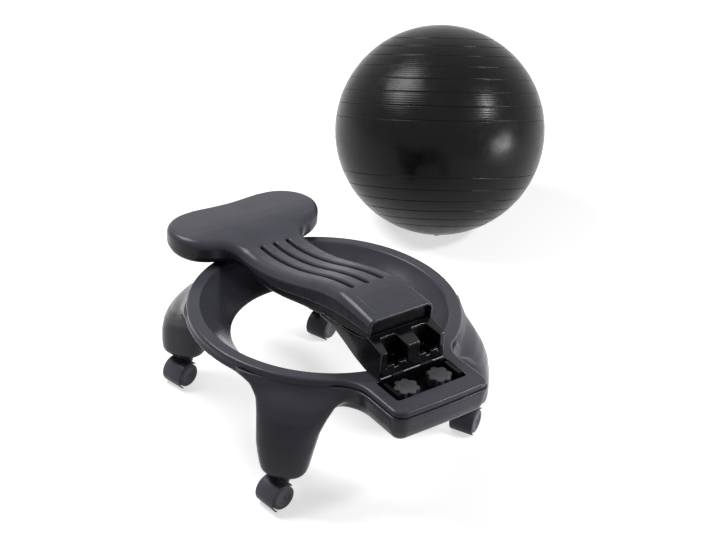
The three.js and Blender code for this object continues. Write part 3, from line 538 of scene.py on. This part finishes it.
# Heights of the upper and lower face along Y, and the rounding of their edges
back_top = smooth_curve([(250, 359.4), (239, 360.4), (200, 365), (163, 368.2), (132, 368.6), (107, 364),
                         (82.8, 358.6), (40.3, 345.6), (0, 331.6), (-39.5, 318.8), (-79.4, 308.6),
                         (-119.9, 301.2), (-152, 298), (-185, 298.6), (-205, 301.5), (-225, 305.6),
                         (-245, 309.2), (-270, 311.4), (-300, 311), (-340, 308.6), (-390, 305)], -400, 260, 12)
back_bottom = smooth_curve([(250, 321), (239, 320), (200.5, 314.2), (161, 307.6), (120.7, 298.5), (82.8, 290),
                            (40.3, 280.8), (0.4, 271.7), (-39.5, 261.9), (-79.4, 254.9), (-119.9, 251.6),
                            (-152.6, 254.6), (-175.5, 257), (-189.3, 257.6), (-212.8, 257), (-230, 255),
                            (-250, 254.4), (-390, 254.4)], -400, 260, 8)
top_round = smooth_curve([(250, 14), (215, 15), (170, 17), (120, 20), (-180, 20), (-230, 15), (-390, 13)],
                         -400, 260, 20)
bottom_round = smooth_curve([(250, 2), (110, 2.5), (20, 8), (-150, 9), (-200, 14), (-240, 23), (-390, 24)],
                            -400, 260, 16)
SLOT_FRONT, SLOT_REAR, SLOT_HALF, SLOT_DEPTH, SLOT_EDGE = -188.0, 132.0, 4.1, 15.0, 4.6
SLOT_PITCH, SLOT_SPREAD, SLOT_END = 31.0, 3.0, 3.0
SPLIT_SHARE = 0.34  # where the two mouldings meet, as a share of the height
END_WALL, MOUTH_HALF, MOUTH_FRONT = 4.5, 68.5, 222.0


def back_limits(y):
    """Heights of the upper and lower face, and how much steeper than flat each is."""
    top, bottom = np.interp(y, *back_top), np.interp(y, *back_bottom)
    slope_top = (np.interp(y + 2, *back_top) - np.interp(y - 2, *back_top)) / 4
    slope_bottom = (np.interp(y + 2, *back_bottom) - np.interp(y - 2, *back_bottom)) / 4
    return top, bottom, np.sqrt(1 + slope_top ** 2), np.sqrt(1 + slope_bottom ** 2)


def split_height(y):
    """Height of the seam between the two mouldings."""
    bottom = np.interp(y, *back_bottom)
    return bottom + (np.interp(y, *back_top) - bottom) * SPLIT_SHARE


def back_whole(x, y, z):
    """Both mouldings as one solid, without slots."""
    plan = back_distance(x, y)
    top, bottom, lean_top, lean_bottom = back_limits(y)
    body = both(plan, (z - top) / lean_top, np.interp(y, *top_round))
    body = both(body, y - COLUMN_END, 4)
    return both(body, (bottom - z) / lean_bottom, np.interp(y, *bottom_round))


def slot_channel(x, y, z):
    """The three slots, open at the top and with round ends."""
    top, _, lean_top, _ = back_limits(y)
    along = np.clip((y - SLOT_FRONT) / (SLOT_REAR - SLOT_FRONT), 0, 1)
    nearest = np.full(np.broadcast(x, y, z).shape, 1e3)
    over = np.maximum(np.maximum(SLOT_FRONT + SLOT_END - y, y - SLOT_REAR + SLOT_END), 0)
    for side in (-1, 0, 1):
        path = side * (SLOT_PITCH + SLOT_SPREAD * along)
        nearest = np.minimum(nearest, np.hypot(x - path, over) - SLOT_HALF)
    return np.maximum(nearest, (top - z) / lean_top - SLOT_DEPTH)


def end_mouth(x, y, z):
    """The hollow behind the column's end edge."""
    roof = np.interp(y, *back_top) - END_WALL
    return both(both(np.abs(x) - MOUTH_HALF, z - roof, 12), MOUTH_FRONT - y, 2)


def rear_shell_field(x, y, z):
    """The upper moulding, with the slots."""
    body = both(back_whole(x, y, z), -slot_channel(x, y, z), SLOT_EDGE)
    body = both(body, -end_mouth(x, y, z), 1.5)
    return both(body, split_height(y) - z, 1.0)


def front_shell_field(x, y, z):
    """The lower moulding, drawn in by a little all round, so that the seam shows as a line."""
    body = both(back_whole(x, y, z) + 1.1, -end_mouth(x, y, z), 1.5)
    return np.maximum(body, z - split_height(y) - 1.5)


points, faces = field_surface(rear_shell_field, (-178, -392, 262), (178, 244, 374),
                              1.7)
add_mesh("backrest_rear_moulding", points, faces, "backrest", ["backrest_rear_shell"],
         charcoal)
# The lower moulding takes the darker charcoal copy, as painted shade on the underside
points, faces = field_surface(front_shell_field, (-178, -392, 248), (178, 244, 342), 2.6)
add_mesh("backrest_front_moulding", points, faces, "backrest", ["backrest_front_shell"],
         charcoal_painted_shade)

# ---------------------------------------------------------------- foot of the backrest
FOOT_HALF, FOOT_FRONT, FOOT_REAR, PIN_Y, PIN_Z, KNUCKLE_R = 74.0, 84.0, 281.0, 279.0, 259.8, 5.8
POCKET_FRONT, POCKET_FLOOR, SILL_X, SILL_HALF, SILL_FRONT, SILL_TOP = 246.0, 277.0, 37.0, 22.0, 272.0, 284.0
# Heights of the foot's lower edge and of its top, along Y
foot_flank = smooth_curve([(70, 291), (96, 291), (126, 291), (164, 278), (200, 264), (236, 254.6),
                           (290, 254.4)], 70, 300, 10)
foot_top = smooth_curve([(70, 300), (160, 306), (200, 312), (228, 320), (234, 326), (282, 314.5)], 70, 300, 1)


def foot_field(x, y, z):
    """The foot, which widens a little to the rear."""
    low, high = np.interp(y, *foot_flank), np.interp(y, *foot_top)
    sides = np.abs(x) - FOOT_HALF + np.maximum(0, 235 - y) * 0.006
    body = both(sides, FOOT_FRONT - y, 4)
    body = both(body, y - FOOT_REAR, 3)
    body = both(body, (z - high) / 1.03, 1.6)
    body = both(body, (low - z) / 1.05, 2)
    # pockets that widen to the rear, each with a notched sill across its open end
    widen = np.clip((y - 240) / 40, 0, 1)
    inner, outer = 19.5 - 5.5 * widen, 50.5 + 10 * widen
    centre, half = (inner + outer) / 2, (outer - inner) / 2
    for side in (-1, 1):
        across = np.abs(x - side * centre) - half
        pocket = both(both(across, POCKET_FRONT - y, 2.5), POCKET_FLOOR - z, 3)
        sill = both(both(np.abs(x - side * SILL_X) - SILL_HALF, SILL_FRONT - y, 1), z - SILL_TOP, 1)
        notch = box_field(x, y, z, (side * SILL_X - 5, 268, 270), (side * SILL_X + 5, 292, 290))
        pocket = both(pocket, -both(sill, -notch, 1), 1.2)
        # room for the bracket's knuckle
        knuckle = np.maximum(np.abs(x - side * 34) - 13.4, np.hypot(y - PIN_Y, z - PIN_Z) - KNUCKLE_R)
        body = both(body, -pocket, 1.8)
        body = np.maximum(body, -knuckle)
    return body


points, faces = field_surface(foot_field, (-80, 80, 250), (80, 286, 330), 1.3)
add_mesh("foot_moulding", points, faces, "backrest", ["backrest_foot"], gloss_black)


def tongue_field(x, y, z):
    """Tongue of the foot, seen as a dark wall inside the column's open end."""
    wall = both(both(np.abs(x) - 67.5, z - 353.4, 11), np.abs(y - 226.5) - 3, 1.5)
    return np.maximum(wall, 312 - z)


points, faces = field_surface(tongue_field, (-71, 220, 311), (71, 233, 356), 1.3)
# The tongue is the foot's black plastic, drawn flatter and darker as painted shade inside the hollow end
add_mesh("foot_tongue", points, faces, "backrest", material=painted_shade_black)

# Plain panel on the column's end: its border sinks into the face, its field stands a little proud
PANEL_WIDTH, PANEL_LENGTH, PANEL_FRONT = 100.0, 65.0, 162.0
PANEL_BORDER, PANEL_SUNK, PANEL_RISE = 1.2, -0.9, 2.0


def panel_steps(length, count):
    """Places across the panel, close together at its borders."""
    return np.concatenate([[0, 0.6, 1.2], np.linspace(2.4, length - 2.4, count),
                           [length - 1.2, length - 0.6, length]])


rows = []
for v in panel_steps(PANEL_LENGTH, 32):
    row = []
    for u in panel_steps(PANEL_WIDTH, 24):
        edge = min(u, v, PANEL_WIDTH - u, PANEL_LENGTH - v)
        lift = PANEL_SUNK + PANEL_RISE * min(edge / PANEL_BORDER, 1) ** 0.5
        row.append((u - PANEL_WIDTH / 2, PANEL_FRONT + v, np.interp(PANEL_FRONT + v, *back_top) + lift))
    rows.append(row)
faces = bridge(len(rows[0]), len(rows), closed=False)
add_mesh("column_panel", np.concatenate(rows), faces, "backrest", material=charcoal)

# ---------------------------------------------------------------- knobs
KNOB_R, KNOB_X, KNOB_Y, LOBES, NOTCH, KNOB_STEPS = 25.0, 38.0, 314.0, 7, 4.4, 112


def star(inset):
    """Seven flat lobes with narrow notches between them, drawn in by an inset."""
    turns = np.linspace(0, 2 * math.pi, KNOB_STEPS, endpoint=False)
    notch = (0.5 + 0.5 * np.cos(LOBES * turns)) ** 1.6
    reach = KNOB_R - inset - 0.3 - NOTCH * notch
    return np.stack([reach * np.cos(turns), reach * np.sin(turns)], axis=1)


KNOB_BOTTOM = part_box("star_knob_left")[0].z * 1000
# (inset, height above the knob's bottom); the outline turns round towards the middle of the top
profile = [(1.6, 0), (0.5, 0.5), (0, 1.6), (0, 16.6)]
profile += [(2 - 2 * math.cos(a), 17.8 + 2 * math.sin(a)) for a in np.radians((20, 40, 60, 80))]
profile += [(4, 19.9), (8, 19.9), (9, 19.5), (12, 19.4), (18, 19.4)]
rows = []
for inset, up in profile:
    outline = star(inset)
    blend = min(max((inset - 5) / 5, 0), 1)
    round_share = (KNOB_R - inset) * 0.93 / np.hypot(*outline.T)
    rows.append(np.column_stack([outline * (1 - blend + blend * round_share)[:, None],
                                 np.full(KNOB_STEPS, KNOB_BOTTOM + up)]))
knob_points = np.concatenate(rows)
faces = bridge(KNOB_STEPS, len(rows)) + [tuple(range(len(knob_points) - KNOB_STEPS, len(knob_points))),
                                         tuple(range(KNOB_STEPS - 1, -1, -1))]
for side, name, turn in ((1, "left", 12), (-1, "right", 31)):
    c, s = math.cos(math.radians(turn)), math.sin(math.radians(turn))
    flat = knob_points[:, :2] @ np.array([[c, s], [-s, c]])
    points = np.column_stack([flat[:, 0] + side * KNOB_X, flat[:, 1] + KNOB_Y, knob_points[:, 2]])
    add_mesh(f"knob_{name}", points, faces, f"clamp_{name}", [f"star_knob_{name}"], knob_grey)

# ---------------------------------------------------------------- casters
# Each stem's place, and the way its wheels trail in degrees
CASTERS = {"rear_left": (228, 208, 7), "rear_right": (-228, 208, 27), "front_left": (180, -232, 14),
           "front_right": (-180, -232, 20)}
TRAIL, WHEEL_R, WHEEL_WIDE, WHEEL_START = 17.0, 25.0, 19.2, 5.0
HOOD_R, HOOD_INNER, WEB_R, WEB_HALF, WEB_HUB = 29.8, 27.2, 28.4, 4.5, 7.0


def turned(points, x, y, degrees):
    """Points turned about the stem, and moved from it to the stem's place."""
    c, s = math.cos(math.radians(degrees)), math.sin(math.radians(degrees))
    points = np.asarray(points, dtype=float)
    return np.column_stack([x + points[:, 0] * c - points[:, 1] * s, y + points[:, 0] * s + points[:, 1] * c,
                            points[:, 2]])


def wheel_points(side):
    """A wheel with a dished face, on one side of the web. The wheel of the other side is its mirror image."""
    wide = WHEEL_WIDE
    profile = [(0, wide - 2.6), (4, wide - 2.6), (5, wide - 1.4), (9, wide - 1.2), (14.2, wide - 1.2),
               (15, wide - 0.4), (16, wide), (21.6, wide), (23.4, wide - 0.6), (24.6, wide - 1.8),
               (WHEEL_R, wide - 3.4), (WHEEL_R, 3), (24.2, 1), (22, 0), (3.5, 0), (3.3, 2)]
    points, faces = lathe(profile, 64)
    points = np.column_stack([side * (WHEEL_START + points[:, 2]), TRAIL + points[:, 0],
                              WHEEL_R + points[:, 1]])
    return points, (faces if side > 0 else [f[::-1] for f in faces])


def hood_parts():
    """Shield over the wheels, the web between them and the boss under the stem, as one mesh."""
    # the shield: its rounded section (across, radius), swept about the axle
    across = [(-25, 0.9), (-24.4, 0.3), (-23.4, 0), (23.4, 0), (24.4, 0.3), (25, 0.9)]
    section = [(x, HOOD_R - cut) for x, cut in across]
    section += [(x, HOOD_INNER + cut * 0.4) for x, cut in across[::-1]]
    turns = np.radians(np.linspace(-52, 128, 41))
    rows = [np.array([(x, TRAIL + r * math.cos(t), WHEEL_R + r * math.sin(t)) for x, r in section])
            for t in turns]
    parts = [np.concatenate(rows)]
    count, start = len(section), len(parts[0])
    faces = bridge(count, len(rows)) + [tuple(range(count - 1, -1, -1)), tuple(range(start - count, start))]
    # the web, down to the hub
    web = [(TRAIL + WEB_R * math.cos(t), WHEEL_R + WEB_R * math.sin(t)) for t in turns]
    web += [(TRAIL + WEB_HUB * math.cos(t), WHEEL_R + WEB_HUB * math.sin(t))
            for t in np.radians(np.linspace(128, 308, 18))]
    parts += [np.array([(x, y, z) for y, z in web]) for x in (-WEB_HALF, WEB_HALF)]
    count = len(web)
    faces += [tuple(start + i for i in f) for f in bridge(count, 2, flip=True)]
    faces += [tuple(range(start, start + count)), tuple(range(start + 2 * count - 1, start + count - 1, -1))]
    start += 2 * count
    # the boss under the stem
    boss, boss_faces = lathe([(0, 47), (12.4, 47), (12.4, 54.6), (11.6, 56.6), (10, 57.4), (0, 57.6)], 40)
    parts.append(boss)
    faces += [tuple(start + i for i in f) for f in boss_faces]
    return np.concatenate(parts), faces


for corner, (leg_x, leg_y, turn) in CASTERS.items():
    points, faces = hood_parts()
    add_mesh(f"hood_{corner}", turned(points, leg_x, leg_y, turn - 90), faces, f"caster_{corner}",
             [f"caster_hood_{corner}"], caster_grey)
    for side, name in ((-1, "inner"), (1, "outer")):
        points, faces = wheel_points(side)
        add_mesh(f"wheel_{corner}_{name}", turned(points, leg_x, leg_y, turn - 90), faces,
                 f"wheel_{corner}_{name}", [f"caster_wheel_{corner}_{name}"], caster_grey)

# ---------------------------------------------------------------- ball
# The ball's own axis leans. Angles below are measured from its upper pole; the lower half has no groove near
# the equator, and a plain band about PLAIN_MIDDLE has no ribs.
BALL_R, BALL_X, BALL_Y, LEAN, LEAN_WAY = 260.0, -707.0, -519.0, 22.0, 239.0
GROOVE_DEPTH, GROOVE_HALF, RIB_DEPTH = 1.3, 0.9, 0.22
PLAIN_MIDDLE, PLAIN_HALF, RIBS_END, RIBS_FADE = (math.radians(a) for a in (98, 15, 74, 3))
VALVE_HOLE = 5.2
grooves = [math.radians(a) for a in (30, 37.5, 45, 52.5, 60, 67.5, 75, 82.5)]
grooves += [math.radians(180) - g for g in grooves[:-2]]
rib_pitch = math.radians(7.5) / 6
# Rings of the skin: evenly spread, and closer at the ribs and the grooves
marks = set(np.linspace(0, math.pi, 90))
for a in np.arange(math.radians(18), math.radians(162), rib_pitch / 5):
    marks.add(float(a))
for g in grooves:
    for off in (-2.4, -1.4, -0.7, 0, 0.7, 1.4, 2.4):
        marks.add(g + off / BALL_R)
profile = []
for a in sorted(marks):
    near = min(abs(a - g) for g in grooves) * BALL_R
    ribbed = min(max((abs(a - PLAIN_MIDDLE) - PLAIN_HALF) / RIBS_FADE, 0), 1)
    ribbed *= min(max((RIBS_END - abs(a - math.pi / 2)) / RIBS_FADE, 0), 1)
    depth = GROOVE_DEPTH * math.exp(-(near / GROOVE_HALF) ** 2)
    depth += RIB_DEPTH * ribbed * (0.5 + 0.5 * math.cos((a - grooves[0]) / rib_pitch * 2 * math.pi))
    profile.append(((BALL_R - depth) * math.sin(a), (BALL_R - depth) * math.cos(a)))
profile[0] = (0.01, profile[0][1])
profile[-1] = (VALVE_HOLE, -math.sqrt(BALL_R ** 2 - VALVE_HOLE ** 2))
lean_axis = Vector((-math.sin(math.radians(LEAN_WAY)), math.cos(math.radians(LEAN_WAY)), 0))
tilt = np.array(Matrix.Rotation(math.radians(LEAN), 3, lean_axis))


def on_ball(points):
    """Points about the ball's middle and axis, moved to where the ball lies."""
    return points @ tilt.T + np.array([BALL_X, BALL_Y, BALL_R])


points, faces = lathe(profile[::-1], 180)
add_mesh("ball_skin", on_ball(points), faces, "ball", ["seat_ball"], ball_black)

# Valve plug: a push-in stem, a thin flange and a small grip, in the hole at the ball's pole
profile = [(0.01, -248.4), (4.1, -248.4), (4.7, -249), (4.7, -260.3), (8.6, -260.4), (9, -260.8),
           (8.8, -261.4), (8, -261.8), (4.4, -261.9), (3.7, -261.5), (3.2, -261.7), (3, -262.6),
           (2.6, -263.2), (0.01, -263.4)]
points, faces = lathe(profile, 40)
add_mesh("valve_stopper", on_ball(points), [f[::-1] for f in faces], "valve", ["valve_plug"],
         valve_black)

# ---------------------------------------------------------------- carried-over CAD nodes
# Finishes of the CAD nodes that show as they are, by the start of their names; the slides and stop rails in
# the knob recess are painted flat black as shade
finishes = {"caster_stem": steel, "caster_axle": steel, "hinge_pin": dark_steel, "clamp_bolt": steel,
            "clamp_washer": steel, "caster_socket": gloss_black, "slide_": painted_shade_black,
            "stop_rail": painted_shade_black, "hinge_lug": gloss_black}
for name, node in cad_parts.items():
    for start, finish in finishes.items():
        if name.startswith(start):
            if not node.material_slots:
                node.data.materials.append(finish)
            for holder in node.material_slots:
                holder.material = finish

# ---------------------------------------------------------------- camera, floor and light
# The camera was fitted to the photograph's frame: its place in mm, and the way it looks
CAMERA_PLACE, CAMERA_LENS = (1424, 1935, 1722), 71.46
camera_data = bpy.data.cameras.new("photo_camera")
camera_data.sensor_width = 36
camera_data.lens = CAMERA_LENS
camera = bpy.data.objects.new("photo_camera", camera_data)
right, up = Vector((-0.8087, 0.5855, 0.0571)), Vector((-0.2542, -0.4353, 0.8637))
back = Vector((0.5305, 0.6839, 0.5008))
aim = Matrix((right, up, back)).transposed().to_4x4()
camera.matrix_world = Matrix.Translation(place(*CAMERA_PLACE)) @ aim
bpy.context.scene.collection.objects.link(camera)
bpy.context.scene.camera = camera


def white_where_seen(tree, socket, low, high):
    """One strength for lighting and another for what the camera and reflections see."""
    path = tree.nodes.new("ShaderNodeLightPath")
    seen = path.outputs["Is Camera Ray"]
    for other in ("Is Glossy Ray", "Is Transmission Ray"):
        either = tree.nodes.new("ShaderNodeMath")
        either.operation = "MAXIMUM"
        tree.links.new(seen, either.inputs[0])
        tree.links.new(path.outputs[other], either.inputs[1])
        seen = either.outputs[0]
    strength = tree.nodes.new("ShaderNodeMapRange")
    strength.inputs["To Min"].default_value = low
    strength.inputs["To Max"].default_value = high
    tree.links.new(seen, strength.inputs["Value"])
    tree.links.new(strength.outputs["Result"], socket)


# The floor is pale for light and shadow, and turns white in the distance like the backdrop
FLOOR_HALF, FLOOR_TONE, FAR_TONE = 8, 0.62, 0.97
FADE_START, FADE_END = 1.1, 2.6  # metres from the middle, between which the floor turns to near white
WORLD_LIGHT = 0.10

floor_mesh = bpy.data.meshes.new("studio_floor")
floor_mesh.from_pydata([(x * FLOOR_HALF, y * FLOOR_HALF, 0) for x, y in ((-1, -1), (1, -1), (1, 1), (-1, 1))],
                       [], [(0, 1, 2, 3)])
floor = bpy.data.objects.new("studio_floor", floor_mesh)
bpy.context.scene.collection.objects.link(floor)
floor_material = bpy.data.materials.new("studio_white")
floor_material.use_nodes = True
tree = floor_material.node_tree
floor_shader = tree.nodes["Principled BSDF"]
floor_shader.inputs["Base Color"].default_value = (FLOOR_TONE, FLOOR_TONE, FLOOR_TONE, 1)
floor_shader.inputs["Roughness"].default_value = 0.9
floor_shader.inputs["Specular IOR Level"].default_value = 0.0
white_where_seen(tree, floor_shader.inputs["Emission Strength"], 0.0, 1.0)
where = tree.nodes.new("ShaderNodeTexCoord")
distance = tree.nodes.new("ShaderNodeVectorMath")
distance.operation = "LENGTH"
fade = tree.nodes.new("ShaderNodeMapRange")
fade.inputs["From Min"].default_value, fade.inputs["From Max"].default_value = FADE_START, FADE_END
fade.inputs["To Min"].default_value, fade.inputs["To Max"].default_value = FLOOR_TONE, FAR_TONE
white = tree.nodes.new("ShaderNodeCombineColor")
tree.links.new(where.outputs["Object"], distance.inputs[0])
tree.links.new(distance.outputs["Value"], fade.inputs["Value"])
for channel in ("Red", "Green", "Blue"):
    tree.links.new(fade.outputs["Result"], white.inputs[channel])
tree.links.new(white.outputs["Color"], floor_shader.inputs["Emission Color"])
floor_mesh.materials.append(floor_material)

world = bpy.data.worlds.new("studio")
world.use_nodes = True
bpy.context.scene.world = world
tree = world.node_tree
tree.nodes["Background"].inputs["Color"].default_value = (1, 1, 1, 1)
white_where_seen(tree, tree.nodes["Background"].inputs["Strength"], WORLD_LIGHT, 1.0)


def area_light(name, spot, target, size, power):
    """A soft lamp in metres from the scene's middle, turned to its target."""
    data = bpy.data.lights.new(name, "AREA")
    data.shape = "RECTANGLE"
    data.size, data.size_y = size
    data.energy = power
    lamp = bpy.data.objects.new(name, data)
    lamp.location = spot
    lamp.rotation_euler = (Vector(target) - Vector(spot)).to_track_quat("-Z", "Y").to_euler()
    bpy.context.scene.collection.objects.link(lamp)


area_light("key_softbox", (0.95, -0.95, 2.1), (-0.3, -0.2, 0.2), (1.15, 1.15), 66)
area_light("edge_softbox", (-1.15, 1.5, 1.9), (0, 0.2, 0.2), (0.5, 0.3), 36)
area_light("side_softbox", (-1.5, 1.9, 0.36), (0.1, 0.1, 0.16), (0.9, 0.5), 30)

bpy.context.scene.view_settings.view_transform = "Standard"
